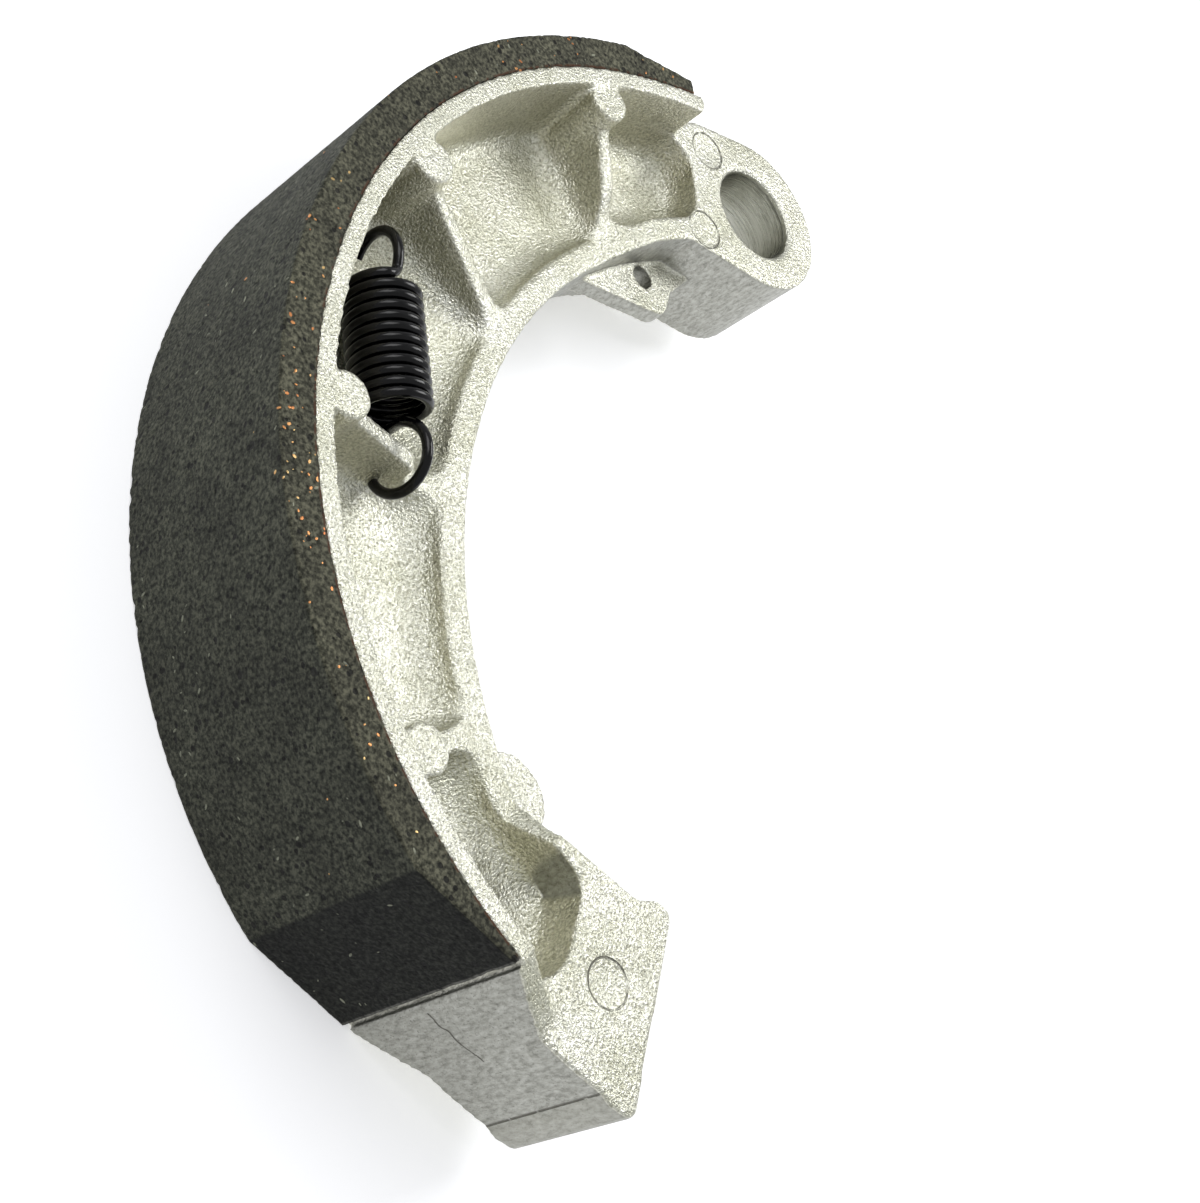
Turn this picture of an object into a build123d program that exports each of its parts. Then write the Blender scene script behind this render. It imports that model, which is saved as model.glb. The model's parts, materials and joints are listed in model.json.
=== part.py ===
"""Drum brake shoe: die-cast shoe, bonded lining and the return spring that lies in one of its pockets.

Millimetres and degrees. The origin is on the axis of the pivot bore, halfway across the width. X runs from
the cam end to the pivot end, Y from the brake's centre line out to the lining, and Z along the bore.
"""
from build123d import *
from math import acos, asin, atan2, cos, degrees, pi, radians, sin, sqrt, tan
import os

# brake that the shoe fits
drum_radius = 65.0
pivot_inset = 11.0
pivot_offset = 10.3
cam_half_thickness = 4.8
shoe_width = 24.6

# lining, an arc of moulded compound with a ground taper at each end
lining_thickness = 3.8
lining_start = 26.0
lining_end = 157.0
pivot_taper_angle = 9.2
pivot_end_thickness = 1.85
cam_taper_angle = 10.6
cam_end_thickness = 0.75

# rim that carries the lining
rim_thickness = 2.1
rim_start = 24.4
rim_end_rounding = 0.9

# web, inner rail and ribs
web_thickness = 3.2
rail_height = 8.8
rail_width = 3.2
shoe_depth = 21.8
inner_arc_drop = 17.3
rib_angles = (40.5, 72.9, 105.5, 138.8)
rib_width = 2.3
rib_height_at_rim = 23.4
last_rib_front_height = 9.6
rib_foot_run = 1.2
draft = 3.0
pocket_corner = 2.2
pocket_floor_fillet = 1.7
hooked_rib = 2
hooked_rib_dip = 8.0
hooked_rib_dip_run = 4.7

# ejector posts beside the rim, on the front only
post_diameter = 5.0
post_inset = 1.7
post_recess = 0.25
post_chamfer = 0.3

# pivot eye and the arm from it to the rim
bore_diameter = 11.2
bore_chamfer = 0.6
eye_diameter = 20.0
eye_width = 14.0
arm_step = 1.5
arm_outer_angle = 21.0
arm_heel = 2.0
arm_lap_angle = 3.0
eye_wall_gap = 0.5
eye_pocket_corner = 3.6
eye_pocket_rim_corner = 3.0
eye_ramp_start = 32.5
eye_ramp_angle = 18.0
eye_blend_angle = 24.6

# cam block
block_width = 16.0
block_step = 0.75
block_start = 157.6
block_joint_angle = 148.0
block_depth = 18.9
tip_rise = 0.45
tip_rise_angle = 1.2
tip_crease_angle = 171.4
nose_depth = 1.6
nose_length = 4.4
block_corner = 1.2
block_ramp_end = 154.6
block_ramp_angle = 42.0
flank_start = 157.4
flank_end = 164.2
flank_lap_angle = 1.0

# end pocket beside the block, each distance taken from the block's inner side and from the cam face
end_pocket_turn = 147.0
end_pocket_shoulder = (1.4, 15.9)
end_pocket_heel = (3.4, 11.1)
end_pocket_corner = 3.0
end_pocket_far_corner = 4.6

# thin tabs at mid-width, inside the inner rail
tab_thickness = 2.4
hook_hole_diameter = 2.7
hook_hole = (-16.0, 10.0)
hook_tab_corners = [(-8.0, 6.6), (-8.0, 2.0), (-15.2, 5.7), (-19.0, 5.7), (-23.2, 17.6), (-25.2, 24.0)]
hook_tab_rounded = 3
hook_tab_rounding = 1.6
cam_tab_radius = 4.8
cam_tab_place = (4.8, 16.7)

# round marks of the ejector pins, sunk a little
mark_diameter = 4.8
mark_depth = 0.25
block_mark_place = (11.1, 6.0)
eye_marks = [(-9.1, 7.0), (3.0, 9.1)]

# return spring, an extension spring with a full hook at each end, lying on the floor of a front pocket
wire_diameter = 1.1
coil_diameter = 8.2
coil_gap = 0.03
coil_turns = 11.82
coil_points = 7
spring_heading = 203.5
spring_end_place = (3.12, 5.88)
seat_clearance = 0.1
start_hook_reach = 3.0
start_hook_rise = -0.3
start_hook_tilt = 1.0
start_hook_angles = (-116, 50)
end_hook_reach = 4.65
end_hook_rise = 0.2
end_hook_tilt = 13.0
end_hook_angles = (-121, 66)
hook_points_each = 8
hook_bend = 32.0

# hidden laps between joined shapes, and how far a cut runs clear of what it cuts
lap = 0.8
cut_margin = 1.0
overrun_angle = 4.0

pivot_from_drum = drum_radius - pivot_inset
rim_outer = drum_radius - lining_thickness
rim_inner = rim_outer - rim_thickness
in_rim = rim_inner + lap
half_width = shoe_width / 2
half_web = web_thickness / 2
half_rail = rail_height / 2
half_eye = eye_width / 2
half_block = block_width / 2
cut_reach = 1.6 * drum_radius
drum_x = -sqrt(pivot_from_drum**2 - pivot_offset**2)
drum_y = -pivot_offset
inner_arc_radius = rim_inner - shoe_depth + inner_arc_drop
inner_arc_centre = (drum_x, drum_y - inner_arc_drop)
rail_outer = inner_arc_radius + rail_width
post_circle_radius = rim_inner - post_inset
cam_face_y = drum_y + cam_half_thickness
block_radius = rim_outer + block_step
block_inner_reach = rim_inner - block_depth
block_inner_x = drum_x - block_inner_reach
eye_wall_angle = degrees(asin(pivot_offset / pivot_from_drum))
eye_wall_angle += degrees(asin((eye_diameter / 2 + eye_wall_gap) / pivot_from_drum))


def polar(radius, angle):
    """Point at a radius and an angle about the drum's axis, the angle counted from the pivot side."""
    return (drum_x + radius * cos(radians(angle)), drum_y + radius * sin(radians(angle)))


def disc(centre, radius):
    return Pos(*centre) * Circle(radius)


def drum_disc(radius):
    return disc((drum_x, drum_y), radius)


def wedge(start, end):
    """Sector of the plane about the drum's axis, out past the lining."""
    middle = (start + end) / 2
    return polygon(polar(0, 0), polar(cut_reach, start), polar(cut_reach, middle), polar(cut_reach, end))


def ring_sector(inner, outer, start, end):
    return (drum_disc(outer) - drum_disc(inner)) & wedge(start, end)


def slab(face, thickness):
    """Solid of a flat outline, the same on both sides of mid-width."""
    return extrude(face, thickness / 2, both=True)


def polygon(*corners):
    return make_face(Polyline(*corners, close=True))


def radius_on_arc(arc_radius, angle):
    """Radius at which an arc about the inner arc's centre crosses a ray from the drum's axis."""
    rise = sin(radians(angle)) * inner_arc_drop
    return -rise + sqrt(arc_radius**2 - (cos(radians(angle)) * inner_arc_drop) ** 2)


def rail_radius(angle):
    """Radius of the inner rail's outer edge at an angle."""
    return radius_on_arc(rail_outer, angle)


def friction_lining():
    """Moulded arc, full thickness between two flat tapers."""
    pivot_side = lining_start + pivot_taper_angle
    cam_side = lining_end - cam_taper_angle
    body = ring_sector(rim_outer, drum_radius, lining_start, lining_end)
    clear = drum_radius + lining_thickness
    pivot_drop = (lining_thickness - pivot_end_thickness) * overrun_angle / pivot_taper_angle
    cam_drop = (lining_thickness - cam_end_thickness) * overrun_angle / cam_taper_angle
    pivot_cut = polygon(
        polar(rim_outer + pivot_end_thickness, lining_start),
        polar(drum_radius, pivot_side),
        polar(clear, pivot_side),
        polar(clear, lining_start - overrun_angle),
        polar(rim_outer + pivot_end_thickness - pivot_drop, lining_start - overrun_angle),
    )
    cam_cut = polygon(
        polar(rim_outer + cam_end_thickness, lining_end),
        polar(drum_radius, cam_side),
        polar(clear, cam_side),
        polar(clear, lining_end + overrun_angle),
        polar(rim_outer + cam_end_thickness - cam_drop, lining_end + overrun_angle),
    )
    return slab(body - pivot_cut - cam_cut, shoe_width)


def ribbed_body():
    """Revolved section: the rail's flat edge inside, rising as a cone to the rim."""
    inside = (inner_arc_radius - inner_arc_drop) / 2
    foot = radius_on_arc(inner_arc_radius, 90) + rail_width
    start = eye_ramp_start - arm_lap_angle
    end = block_ramp_end + arm_lap_angle
    half_top = rib_height_at_rim / 2
    section = Plane.XZ * polygon(
        (inside, -half_rail),
        (foot, -half_rail),
        (in_rim, -half_top),
        (in_rim, half_top),
        (foot, half_rail),
        (inside, half_rail),
    )
    turned = Pos(drum_x, drum_y, 0) * Rot(0, 0, start) * revolve(section, Axis.Z, end - start)
    rise = half_width - half_rail
    over_rail = Pos(*inner_arc_centre, half_rail + rise / 2) * Cone(rail_outer, rail_outer + rise * rib_foot_run, rise)
    return turned - over_rail - mirror(over_rail, Plane.XY)


def rim():
    """Curved table under the lining, its free end rounded."""
    band = ring_sector(rim_inner, rim_outer, rim_start, block_start)
    free_end = band.vertices().group_by(Axis.X)[-1] + band.vertices().group_by(Axis.X)[-2]
    band = fillet(free_end, rim_end_rounding)
    return slab(band, shoe_width)


def slope_cut(angle, height, slope, away):
    """Block that planes a face down from a given height, on both sides, beyond a ray from the drum's axis."""
    half = cut_reach / 2
    block = Box(cut_reach, cut_reach, cut_reach)
    top = Pos(0, 0, height) * Rot(0, slope, 0) * Pos(half, 0, half) * block
    bottom = Pos(0, 0, -height) * Rot(0, -slope, 0) * Pos(half, 0, -half) * block
    place = Pos(*polar(rim_inner / 2, angle), 0) * Rot(0, 0, angle + (90 if away else -90))
    return place * (top + bottom)


def tangent_point(point, first):
    """Where a line from a point touches the eye, on the side met first or last going round it."""
    radius = eye_diameter / 2
    bearing = atan2(point[1], point[0])
    opening = acos(radius / sqrt(point[0] ** 2 + point[1] ** 2))
    angle = bearing - opening if first else bearing + opening
    return (radius * cos(angle), radius * sin(angle))


def arm_body():
    """Arm from the eye to the rim and the rail."""
    outer_corner = polar(rim_outer + arm_step, arm_outer_angle)
    past_rib = rib_angles[0] + arm_lap_angle
    outline = polygon(
        tangent_point(outer_corner, True),
        outer_corner,
        polar(in_rim, lining_start),
        polar(in_rim, rib_angles[0]),
        polar(in_rim, past_rib),
        polar(radius_on_arc(inner_arc_radius, past_rib) - rail_width, past_rib),
        (-eye_diameter / 2, -arm_heel),
        (0, 0),
    )
    return slab(outline, eye_width) - slope_cut(eye_ramp_start, half_eye, eye_ramp_angle, True)


def eye_ring():
    """Round eye, its inner side blended straight into the inner arc."""
    blend = polar(radius_on_arc(inner_arc_radius, eye_blend_angle), eye_blend_angle)
    cheek = polygon(blend, tangent_point(blend, False), (0, 0))
    return slab(disc((0, 0), eye_diameter / 2) + cheek, eye_width)


def block_outline():
    """Cam block seen from the side: outer arc, raised tip, cam face, nose and inner side."""
    crease = polar(block_radius, tip_crease_angle)
    raised = polar(block_radius + tip_rise, tip_crease_angle + tip_rise_angle)
    outer_x = drum_x - sqrt((block_radius + tip_rise) ** 2 - cam_half_thickness**2)
    outer = ThreePointArc(
        polar(block_radius, block_start),
        polar(block_radius, (block_start + tip_crease_angle) / 2),
        crease,
    )
    rest = Polyline(
        crease,
        raised,
        (outer_x, cam_face_y),
        (block_inner_x - nose_depth / 2, cam_face_y),
        (block_inner_x - nose_depth / 3, cam_face_y + nose_length / 2),
        (block_inner_x - nose_depth, cam_face_y + nose_length),
        (block_inner_x, inner_arc_centre[1] + sqrt(inner_arc_radius**2 - block_inner_reach**2)),
        polar(radius_on_arc(inner_arc_radius, block_joint_angle), block_joint_angle),
        polar(in_rim, block_joint_angle),
        polar(in_rim, block_start),
        polar(block_radius, block_start),
    )
    outline = make_face(outer + rest)
    return fillet(outline.vertices().group_by(Axis.Y)[0], block_corner)


def block_body():
    body = slab(block_outline(), block_width)
    return body - slope_cut(block_ramp_end, half_block, block_ramp_angle, False)


def flank_body():
    """Ends of the wide rim, running down to the narrower block."""
    outline = ring_sector(rim_inner, block_radius, block_start, flank_end + flank_lap_angle)
    run = radians(flank_end - flank_start) * block_radius
    slope = degrees(atan2(half_width - half_block, run))
    return slab(outline, shoe_width) - slope_cut(flank_start, half_width, slope, True)


def tabs():
    """Hook tab under the eye, with its hole, and the round tab beside the cam block."""
    hook_tab = polygon(*hook_tab_corners)
    low_corner = hook_tab.vertices().sort_by_distance(hook_tab_corners[hook_tab_rounded])[0]
    hook_tab = fillet(low_corner, hook_tab_rounding) - disc(hook_hole, hook_hole_diameter / 2)
    hook_tab = hook_tab & disc(inner_arc_centre, inner_arc_radius + lap)
    cam_tab = disc((block_inner_x + cam_tab_place[0], cam_face_y + cam_tab_place[1]), cam_tab_radius)
    return slab(hook_tab, tab_thickness) + slab(cam_tab, tab_thickness)


def wall_strip(angle, width):
    """Strip along a ray from the drum's axis, as wide as a rib at the pocket floor."""
    return Pos(*polar(cut_reach / 2, angle)) * Rot(0, 0, angle) * Rectangle(cut_reach, width)


def wall_run(height):
    """How far a drafted pocket wall leans over the height from the floor."""
    return tan(radians(draft)) * (height - half_web)


def largest(area):
    return area.faces().sort_by(SortBy.AREA)[-1]


def floor_between(start, end):
    """Floor area between the rail and the rim, from one ray to another."""
    area = ring_sector(inner_arc_radius - inner_arc_drop, rim_inner - wall_run(half_width), start, end)
    return area - disc(inner_arc_centre, rail_outer)


def rib_strip(angle):
    return wall_strip(angle, rib_width + 2 * wall_run(half_rail))


def round_beside_rib(area, angle):
    """Rounds the two floor corners nearest to a rib."""
    middle = (rail_radius(angle) + rim_inner) / 2
    return fillet(area.vertices().sort_by_distance(polar(middle, angle))[:2], pocket_corner)


def rib_pocket(start, end):
    """Floor between two ribs, the rim and the rail."""
    area = largest(floor_between(start, end) - rib_strip(start) - rib_strip(end))
    return fillet(area.vertices(), pocket_corner)


def eye_pocket():
    """Floor between the eye and the first rib."""
    first = rib_angles[0]
    area = floor_between(eye_wall_angle, first)
    area = largest(area - wall_strip(eye_wall_angle, 2 * wall_run(half_eye)) - rib_strip(first))
    inner = area.vertices().sort_by(Axis.Y)[0]
    area = fillet(inner, eye_pocket_corner)
    near_rim = area.vertices().sort_by(Axis.X)[-1]
    area = fillet(near_rim, eye_pocket_rim_corner)
    return round_beside_rib(area, first)


def end_pocket():
    """Floor between the last rib and the cam block, turning in beside the block."""
    last = rib_angles[-1]
    area = drum_disc(rim_inner - wall_run(half_width)) & wedge(last, 180)
    area = area - (disc(inner_arc_centre, rail_outer) & wedge(last - overrun_angle, end_pocket_turn))
    heel = (block_inner_x - end_pocket_heel[0], cam_face_y + end_pocket_heel[1])
    area = area - polygon(
        (drum_x, drum_y),
        polar(rail_radius(end_pocket_turn), end_pocket_turn),
        (block_inner_x - end_pocket_shoulder[0], cam_face_y + end_pocket_shoulder[1]),
        heel,
        (drum_x - cut_reach, heel[1]),
        (drum_x - cut_reach, drum_y - lap),
        (drum_x, drum_y - lap),
    )
    area = largest(area - rib_strip(last))
    area = fillet(area.vertices().sort_by_distance(heel)[0], end_pocket_corner)
    far = area.vertices().sort_by(Axis.X)[0]
    area = fillet(far, end_pocket_far_corner)
    return round_beside_rib(area, last)


def pocket_cutter(outline):
    """Tapered core that forms a pocket, its lower edge rounded."""
    core = extrude(outline, half_width + cut_margin - half_web, taper=-draft)
    low = core.faces().sort_by(Axis.Z)[0]
    core = fillet(low.edges(), pocket_floor_fillet)
    return Pos(0, 0, half_web) * core


def pocket_cutters():
    floors = [rib_pocket(start, end) for start, end in zip(rib_angles, rib_angles[1:])]
    floors += [eye_pocket(), end_pocket()]
    cutters = []
    for floor in floors:
        cutter = pocket_cutter(floor)
        cutters += [cutter, mirror(cutter, Plane.XY)]
    return cutters


def trim_box(angle, start, end, height):
    """Block across one rib, from a height up past the front."""
    place = Pos(*polar((start + end) / 2, angle), height + half_width / 2) * Rot(0, 0, angle)
    return place * Box(end - start, 4 * rib_width, half_width)


def rib_trims():
    """Front only: the dip at the foot of the rib that the spring hooks over, and the low last rib."""
    hooked = rib_angles[hooked_rib]
    foot = rail_radius(hooked)
    dip = trim_box(hooked, foot, foot + hooked_rib_dip_run, hooked_rib_dip / 2)
    last = rib_angles[-1]
    saddle = trim_box(last, rail_radius(last) - rail_width / 2, post_circle_radius, last_rib_front_height / 2)
    return dip + saddle


def posts():
    height = half_width - post_recess
    post = Pos(0, 0, height / 2) * Cylinder(post_diameter / 2, height)
    post = chamfer(post.edges().sort_by(Axis.Z)[-1], post_chamfer)
    return [Pos(*polar(post_circle_radius, angle), 0) * post for angle in rib_angles]


def marks():
    """Shallow round sinks on the front of the eye and of the block."""
    block_mark = (block_inner_x - block_mark_place[0], cam_face_y + block_mark_place[1])
    mark = Cylinder(mark_diameter / 2, 2 * mark_depth)
    sinks = Pos(*block_mark, half_block) * mark
    for centre in eye_marks:
        sinks = sinks + Pos(*centre, half_eye) * mark
    return sinks


def shoe_casting():
    body = ribbed_body() + arm_body()
    body = body - slab(disc(inner_arc_centre, inner_arc_radius), shoe_width + 2 * cut_margin)
    body = body + block_body() + eye_ring()
    for cutter in pocket_cutters():
        body = body - cutter
    body = body - rib_trims()
    body = body + rim() + flank_body() + tabs()
    for post in posts():
        body = body + post
    body = body - Cylinder(bore_diameter / 2, eye_width + 2 * cut_margin)
    countersink = Cone(bore_diameter / 2, bore_diameter / 2 + bore_chamfer, bore_chamfer)
    countersink = Pos(0, 0, half_eye - bore_chamfer / 2) * countersink
    body = body - countersink - mirror(countersink, Plane.XY)
    return body - marks()


def spring_directions():
    """Unit vectors along the spring and across it, both level."""
    heading = radians(spring_heading)
    return Vector(cos(heading), sin(heading), 0), Vector(sin(heading), -cos(heading), 0)


def hook_points(end, out, across, centre_reach, rise, tilt, angles):
    """Centre line of one hook: part of a circle as large as the coils, in an upright plane along the spring."""
    mean = (coil_diameter - wire_diameter) / 2
    centre = end + out * centre_reach + Vector(0, 0, rise)
    down = across * sin(radians(tilt)) - Vector(0, 0, cos(radians(tilt)))
    points = []
    for step in range(hook_points_each + 1):
        angle = radians(angles[0] + (angles[1] - angles[0]) * step / hook_points_each)
        points.append(centre + out * (mean * cos(angle)) + down * (mean * sin(angle)))
    first = radians(angles[0])
    start_direction = out * -sin(first) + down * cos(first)
    return points, start_direction


def bridge(start, start_direction, end, end_direction):
    """Points of a smooth bend between two given ends."""
    reach = (end - start).length * 1.15
    points = []
    for step in (0.2, 0.4, 0.6, 0.8):
        a = 2 * step**3 - 3 * step**2 + 1
        b = (step**3 - 2 * step**2 + step) * reach
        c = 3 * step**2 - 2 * step**3
        d = (step**3 - step**2) * reach
        points.append(start * a + start_direction * b + end * c + end_direction * d)
    return points


def return_spring():
    """Close-wound wire with both hooks, swept along one smooth centre line."""
    mean = (coil_diameter - wire_diameter) / 2
    pitch = wire_diameter + coil_gap
    along, across = spring_directions()
    hooked = rib_angles[hooked_rib]
    dip_middle = polar(rail_radius(hooked) + hooked_rib_dip_run / 2, hooked)
    far_end = Vector(
        dip_middle[0] + spring_end_place[0],
        dip_middle[1] + spring_end_place[1],
        half_web + seat_clearance + coil_diameter / 2,
    )
    origin = far_end - along * (coil_turns * pitch)
    first = radians(hook_bend)
    last = first + 2 * pi * coil_turns

    def coil(angle):
        radial = Vector(0, 0, cos(angle)) - across * sin(angle)
        return origin + along * (pitch * (angle - first) / (2 * pi)) + radial * mean

    def coil_direction(angle):
        return (Vector(0, 0, -sin(angle)) - across * cos(angle)).normalized()

    steps = round(coil_turns * coil_points)
    coils = [coil(first + (last - first) * step / steps) for step in range(steps + 1)]
    start_hook, start_direction = hook_points(
        origin, along * -1, across, start_hook_reach, start_hook_rise, start_hook_tilt, start_hook_angles
    )
    end_hook, end_direction = hook_points(
        far_end, along, across, end_hook_reach, end_hook_rise, end_hook_tilt, end_hook_angles
    )
    lead_in = bridge(start_hook[0], start_direction * -1, coils[0], coil_direction(first))
    lead_out = bridge(coils[-1], coil_direction(last), end_hook[0], end_direction)
    path = Spline(*start_hook[::-1], *lead_in, *coils, *lead_out, *end_hook)
    return sweep(Plane(path @ 0, z_dir=path % 0) * Circle(wire_diameter / 2), path=path, is_frenet=True)


os.makedirs("parts", exist_ok=True)
casting = shoe_casting()
lining = friction_lining()
spring = return_spring()
for name, solid in (("shoe_casting", casting), ("friction_lining", lining), ("return_spring", spring)):
    print(name, len(solid.solids()), "solid(s)", round(solid.volume, 1), "mm3, valid", solid.is_valid)
    export_step(solid, f"parts/{name}.step")
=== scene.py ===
# Brake shoe: die-cast shoe, bonded friction lining, and the black return spring lying in one recess.
# Everything is in metres, in the CAD frame: +X to the pivot end, +Y out to the lining, +Z along the pivot bore.
import json
import math
import bpy
import bmesh
import numpy as np
from mathutils import Matrix, Vector, noise

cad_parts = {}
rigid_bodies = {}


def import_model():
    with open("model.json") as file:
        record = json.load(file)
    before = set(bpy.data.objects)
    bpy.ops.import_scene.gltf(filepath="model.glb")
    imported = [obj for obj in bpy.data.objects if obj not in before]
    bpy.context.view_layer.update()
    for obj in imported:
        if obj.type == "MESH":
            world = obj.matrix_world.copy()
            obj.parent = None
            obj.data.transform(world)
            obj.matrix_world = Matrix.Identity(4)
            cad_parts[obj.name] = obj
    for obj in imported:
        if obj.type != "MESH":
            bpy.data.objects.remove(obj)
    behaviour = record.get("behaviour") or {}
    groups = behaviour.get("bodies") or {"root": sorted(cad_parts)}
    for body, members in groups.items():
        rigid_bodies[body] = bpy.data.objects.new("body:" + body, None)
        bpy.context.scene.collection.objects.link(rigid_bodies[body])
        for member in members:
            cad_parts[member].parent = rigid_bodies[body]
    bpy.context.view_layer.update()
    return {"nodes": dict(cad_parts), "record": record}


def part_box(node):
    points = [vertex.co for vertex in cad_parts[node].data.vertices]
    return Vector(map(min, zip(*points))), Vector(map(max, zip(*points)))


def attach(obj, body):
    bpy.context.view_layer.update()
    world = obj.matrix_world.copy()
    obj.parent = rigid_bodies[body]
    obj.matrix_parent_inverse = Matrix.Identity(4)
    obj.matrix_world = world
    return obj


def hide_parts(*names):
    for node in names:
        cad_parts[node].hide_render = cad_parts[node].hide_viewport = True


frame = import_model()
mm = 0.001

# what several pieces share: places in the XY plane and radii in millimetres, angles in degrees about the drum's axis
layout = {
    "drumCentre": (-53.008, -10.3),
    "drumRadius": 65.0,
    "rimOuter": 61.2,
    "innerArcCentre": (-53.008, -27.6),
    "postCircle": 57.4,
    "postAngles": (40.5, 72.9, 105.5, 138.8),
    "hookHole": (-16.0, 10.0),  # the small hole in the tab
    "hookRest": (-67.6, 35.4),  # where the spring's lower hook comes nearest the floor
}


# linear colour of an sRGB hex value
def hexColour(text):
    values = [int(text[i:i + 2], 16) / 255 for i in (1, 3, 5)]
    return tuple([v / 12.92 if v <= 0.04045 else ((v + 0.055) / 1.055) ** 2.4 for v in values] + [1.0])


def startMaterial(name):
    material = bpy.data.materials.new(name)
    material.use_nodes = True
    tree = material.node_tree
    tree.nodes.clear()
    return material, tree


# adds one node with its settings, its input values and the sockets that feed it
def addNode(tree, kind, settings=None, values=None, links=None):
    node = tree.nodes.new(kind)
    for key, value in (settings or {}).items():
        setattr(node, key, value)
    for key, value in (values or {}).items():
        node.inputs[key].default_value = value
    for key, socket in (links or {}).items():
        tree.links.new(socket, node.inputs[key])
    return node


# colour ramp through (position, colour) stops, each colour a hex value or a grey level
def addRamp(tree, source, stops):
    ramp = addNode(tree, "ShaderNodeValToRGB", links={"Fac": source})
    elements = ramp.color_ramp.elements
    while len(elements) < len(stops):
        elements.new(0.5)
    for element, (position, colour) in zip(elements, stops):
        element.position = position
        element.color = hexColour(colour) if isinstance(colour, str) else (colour, colour, colour, 1.0)
    return ramp.outputs["Color"]


# arithmetic of sockets or numbers, folded from left to right
def reckon(tree, operation, *items):
    result = items[0]
    for item in items[1:] or (0.0,):
        node = addNode(tree, "ShaderNodeMath", {"operation": operation})
        for socket, part in zip(node.inputs, (result, item)):
            if isinstance(part, (int, float)):
                socket.default_value = part
            else:
                tree.links.new(part, socket)
        result = node.outputs[0]
    return result


# smooth step from 0 at the first value to 1 at the second, whichever is larger
def fade(tree, source, zero, one):
    rising = zero < one
    node = addNode(tree, "ShaderNodeMapRange", {"interpolation_type": "SMOOTHSTEP"},
                   {"From Min": min(zero, one), "From Max": max(zero, one),
                    "To Min": 0.0 if rising else 1.0, "To Max": 1.0 if rising else 0.0}, {"Value": source})
    return node.outputs["Result"]


# mix of two colours, each a socket or a hex value
def blendColour(tree, amount, first, second, how="MIX"):
    node = addNode(tree, "ShaderNodeMix", {"data_type": "RGBA", "blend_type": how})
    for index, item in ((0, amount), (6, first), (7, second)):
        if isinstance(item, str):
            node.inputs[index].default_value = hexColour(item)
        elif isinstance(item, float):
            node.inputs[index].default_value = item
        else:
            tree.links.new(item, node.inputs[index])
    return node.outputs[2]


# object coordinates in millimetres about a centre, stretched along the axes
def millimetres(tree, centre=(0, 0, 0), stretch=(1, 1, 1)):
    place = addNode(tree, "ShaderNodeTexCoord").outputs["Object"]
    moved = tuple(-c * s for c, s in zip(centre, stretch))
    return addNode(tree, "ShaderNodeMapping", values={"Scale": tuple(s / mm for s in stretch), "Location": moved},
                   links={"Vector": place}).outputs["Vector"]


# distance in millimetres from an upright line through a point of the XY plane
def distanceTo(tree, point):
    return addNode(tree, "ShaderNodeVectorMath", {"operation": "LENGTH"},
                   links={0: millimetres(tree, (*point, 0), (1, 1, 0))}).outputs["Value"]


# angle in degrees about the drum's axis
def drumAngle(tree):
    flat = addNode(tree, "ShaderNodeSeparateXYZ",
                   links={"Vector": millimetres(tree, (*layout["drumCentre"], 0))}).outputs
    turn = addNode(tree, "ShaderNodeMath", {"operation": "ARCTAN2"}, links={0: flat["Y"], 1: flat["X"]}).outputs[0]
    turn = reckon(tree, "MULTIPLY", turn, 180 / math.pi)
    return reckon(tree, "ADD", turn, reckon(tree, "MULTIPLY", reckon(tree, "LESS_THAN", turn, -90.0), 360.0))


# noise whose lumps are about one grain, in millimetres, across
def addNoise(tree, vector, grain, detail=2.0, roughness=0.5):
    return addNode(tree, "ShaderNodeTexNoise", values={"Scale": 1 / grain, "Detail": detail, "Roughness": roughness},
                   links={"Vector": vector}).outputs["Fac"]


def addBump(tree, height, depth, strength=1.0, normal=None):
    links = {"Height": height}
    if normal:
        links["Normal"] = normal
    return addNode(tree, "ShaderNodeBump", values={"Strength": strength, "Distance": depth * mm},
                   links=links).outputs["Normal"]


# closes a material with the shader's constant values and its linked sockets
def finishMaterial(tree, values, links):
    shader = addNode(tree, "ShaderNodeBsdfPrincipled", values=values, links=links)
    addNode(tree, "ShaderNodeOutputMaterial", links={"Surface": shader.outputs["BSDF"]})


def addPiece(data, name):
    data.name = name
    piece = bpy.data.objects.new(name, data)
    bpy.context.scene.collection.objects.link(piece)
    return piece


def setMaterial(obj, material):
    obj.data.materials.clear()
    obj.data.materials.append(material)
    for polygon in obj.data.polygons:
        polygon.material_index = 0


# new plain mesh from an object's modifiers; the object is removed
def applyModifiers(obj, name):
    graph = bpy.context.evaluated_depsgraph_get()
    mesh = bpy.data.meshes.new_from_object(obj.evaluated_get(graph))
    bpy.data.objects.remove(obj)
    return addPiece(mesh, name)


# Geometry Nodes tree with named inputs, and the sockets that carry them
def startTree(name, inputs):
    tree = bpy.data.node_groups.new(name, "GeometryNodeTree")
    tree.interface.new_socket("Geometry", in_out="INPUT", socket_type="NodeSocketGeometry")
    for label, kind in inputs.items():
        tree.interface.new_socket(label, in_out="INPUT", socket_type=kind)
    tree.interface.new_socket("Geometry", in_out="OUTPUT", socket_type="NodeSocketGeometry")
    return tree, addNode(tree, "NodeGroupInput").outputs


def finishTree(tree, geometry, material):
    real = addNode(tree, "GeometryNodeRealizeInstances", links={"Geometry": geometry}).outputs["Geometry"]
    painted = addNode(tree, "GeometryNodeSetMaterial", values={"Material": material}, links={"Geometry": real})
    addNode(tree, "NodeGroupOutput", links={"Geometry": painted.outputs["Geometry"]})


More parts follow.
